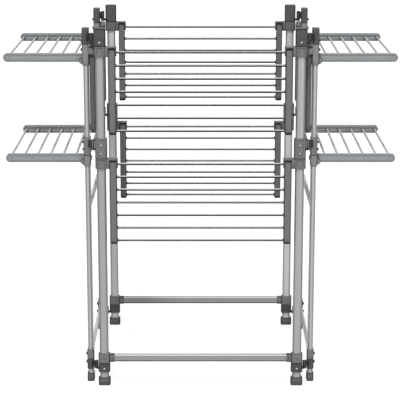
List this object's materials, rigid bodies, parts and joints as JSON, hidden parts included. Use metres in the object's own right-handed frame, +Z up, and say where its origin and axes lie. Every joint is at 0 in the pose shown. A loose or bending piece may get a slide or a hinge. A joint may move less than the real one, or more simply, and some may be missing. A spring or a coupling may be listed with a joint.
{
  "type": "clothes drying rack",
  "caption": "Folding tower clothes airer: hinged silver tube frames, plastic connectors, swing-up side wings and hanging flaps of rods.",
  "frame": {"origin": "on the floor, at the middle of the tower", "axes": "+X to the right along the front frame, +Y from the front frame to the rear frame, +Z up"},
  "size_m": [1.127, 0.5986, 1.06],
  "materials": {
    "tube": "satin silver tube with fine drawing lines",
    "rod": "smooth bright rod",
    "fastener": "plain rivets and hinge pins",
    "dark_plastic": "moulded, fine matt texture",
    "grey_plastic": "moulded, fine matt texture",
    "rail_plastic": "moulded, fine matt texture",
    "foot": "matt"
  },
  "bodies": {
    "front_frame": {"front_left_post": "tube", "front_right_post": "tube", "front_crossbar": "tube", "front_top_connectors": "dark_plastic", "front_mid_connectors": "dark_plastic", "front_bottom_connectors": "dark_plastic", "front_crossbar_tees": "grey_plastic", "front_flap_brackets": "grey_plastic", "front_feet": "foot", "front_fasteners": "fastener"},
    "rear_frame": {"rear_left_post": "tube", "rear_right_post": "tube", "rear_crossbar": "tube", "rear_top_connectors": "dark_plastic", "rear_mid_connectors": "dark_plastic", "rear_bottom_connectors": "dark_plastic", "rear_crossbar_tees": "grey_plastic", "rear_flap_brackets": "grey_plastic", "rear_feet": "foot", "rear_fasteners": "fastener"},
    "left_frame": {"left_front_post": "tube", "left_rear_post": "tube", "left_crossbars": "tube", "left_top_connectors": "dark_plastic", "left_mid_connectors": "dark_plastic", "left_bottom_connectors": "dark_plastic", "left_crossbar_tees": "grey_plastic", "left_wing_brackets": "grey_plastic", "left_feet": "foot", "left_fasteners": "fastener"},
    "right_frame": {"right_front_post": "tube", "right_rear_post": "tube", "right_crossbars": "tube", "right_top_connectors": "dark_plastic", "right_mid_connectors": "dark_plastic", "right_bottom_connectors": "dark_plastic", "right_crossbar_tees": "grey_plastic", "right_wing_brackets": "grey_plastic", "right_feet": "foot", "right_fasteners": "fastener"},
    "front_upper_flap": {"front_upper_flap_rails": "rail_plastic", "front_upper_flap_rods": "rod"},
    "front_lower_flap": {"front_lower_flap_rails": "rail_plastic", "front_lower_flap_rods": "rod"},
    "rear_upper_flap": {"rear_upper_flap_rails": "rail_plastic", "rear_upper_flap_rods": "rod"},
    "rear_lower_flap": {"rear_lower_flap_rails": "rail_plastic", "rear_lower_flap_rods": "rod"},
    "left_upper_wing": {"left_upper_wing_rails": "rail_plastic", "left_upper_wing_rods": "rod"},
    "left_lower_wing": {"left_lower_wing_rails": "rail_plastic", "left_lower_wing_rods": "rod"},
    "right_upper_wing": {"right_upper_wing_rails": "rail_plastic", "right_upper_wing_rods": "rod"},
    "right_lower_wing": {"right_lower_wing_rails": "rail_plastic", "right_lower_wing_rods": "rod"},
    "left_inner_flap": {"left_inner_flap_rails": "rail_plastic", "left_inner_flap_rods": "rod"},
    "right_inner_flap": {"right_inner_flap_rails": "rail_plastic", "right_inner_flap_rods": "rod"}
  },
  "joints": [
    {"name": "left_fold", "type": "hinge", "parent": "front_frame", "child": "left_frame", "pos_m": [-0.3083, -0.265, 0.715], "axis": [0, 0, 1], "range_deg": [-80, 0]},
    {"name": "right_fold", "type": "hinge", "parent": "front_frame", "child": "right_frame", "pos_m": [0.3083, -0.265, 0.715], "axis": [0, 0, 1], "range_deg": [-80, 0]},
    {"name": "rear_fold", "type": "hinge", "parent": "left_frame", "child": "rear_frame", "pos_m": [-0.3083, 0.265, 0.715], "axis": [0, 0, 1], "range_deg": [0, 80]},
    {"name": "front_upper_flap_swing", "type": "hinge", "parent": "front_frame", "child": "front_upper_flap", "pos_m": [0, -0.285, 0.989], "axis": [-1, 0, 0], "range_deg": [0, 90]},
    {"name": "front_lower_flap_swing", "type": "hinge", "parent": "front_frame", "child": "front_lower_flap", "pos_m": [0, -0.285, 0.6675], "axis": [-1, 0, 0], "range_deg": [0, 90]},
    {"name": "rear_upper_flap_swing", "type": "hinge", "parent": "rear_frame", "child": "rear_upper_flap", "pos_m": [0, 0.285, 0.989], "axis": [1, 0, 0], "range_deg": [0, 90]},
    {"name": "rear_lower_flap_swing", "type": "hinge", "parent": "rear_frame", "child": "rear_lower_flap", "pos_m": [0, 0.285, 0.6675], "axis": [1, 0, 0], "range_deg": [0, 90]},
    {"name": "left_upper_wing_swing", "type": "hinge", "parent": "left_frame", "child": "left_upper_wing", "pos_m": [-0.3375, 0, 0.9584], "axis": [0, 1, 0], "range_deg": [-90, 0]},
    {"name": "left_lower_wing_swing", "type": "hinge", "parent": "left_frame", "child": "left_lower_wing", "pos_m": [-0.3375, 0, 0.6656], "axis": [0, 1, 0], "range_deg": [-90, 0]},
    {"name": "right_upper_wing_swing", "type": "hinge", "parent": "right_frame", "child": "right_upper_wing", "pos_m": [0.3375, 0, 0.9584], "axis": [0, -1, 0], "range_deg": [-90, 0]},
    {"name": "right_lower_wing_swing", "type": "hinge", "parent": "right_frame", "child": "right_lower_wing", "pos_m": [0.3375, 0, 0.6656], "axis": [0, -1, 0], "range_deg": [-90, 0]},
    {"name": "left_inner_flap_swing", "type": "hinge", "parent": "left_frame", "child": "left_inner_flap", "pos_m": [-0.3078, 0, 0.989], "axis": [0, -1, 0], "range_deg": [0, 90]},
    {"name": "right_inner_flap_swing", "type": "hinge", "parent": "right_frame", "child": "right_inner_flap", "pos_m": [0.3078, 0, 0.989], "axis": [0, 1, 0], "range_deg": [0, 90]}
  ],
  "couplings": [
    {"joint": "right_fold", "follows": "left_fold", "ratio": 1},
    {"joint": "rear_fold", "follows": "left_fold", "ratio": -1}
  ]
}
